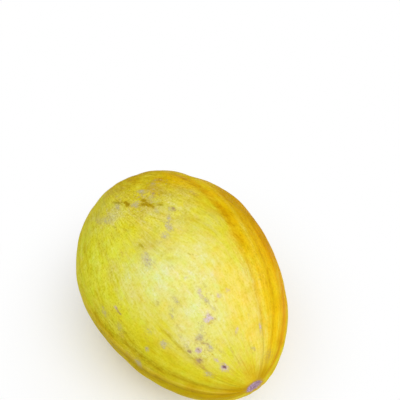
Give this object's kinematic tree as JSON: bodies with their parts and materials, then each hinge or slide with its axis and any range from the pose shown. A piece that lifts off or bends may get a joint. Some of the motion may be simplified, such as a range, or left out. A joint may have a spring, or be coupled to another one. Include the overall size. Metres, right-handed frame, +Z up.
{
  "type": "canary melon",
  "caption": "Whole canary melon: an egg-shaped fruit with a waxy, faintly ribbed yellow rind, a corky blossom scar and a short dry stem stub, lying on its side as food for a stall or table.",
  "frame": {"origin": "centre of the small flat spot that the melon lies on, on the surface it rests on", "axes": "+X along the melon's long axis toward the blossom end, -X toward the stem end, +Z up away from the surface it lies on"},
  "size_m": [0.2033, 0.1475, 0.1469],
  "materials": {
    "rind": "waxy satin yellow rind, streaked along the fruit, orange on one side, with grey-lilac rub marks and a corky scar",
    "dry_stem": "dry grey fibrous stem, paler on the cut"
  },
  "bodies": {
    "root": {"fruit": "rind", "stem_stub": "dry_stem"}
  },
  "joints": []
}
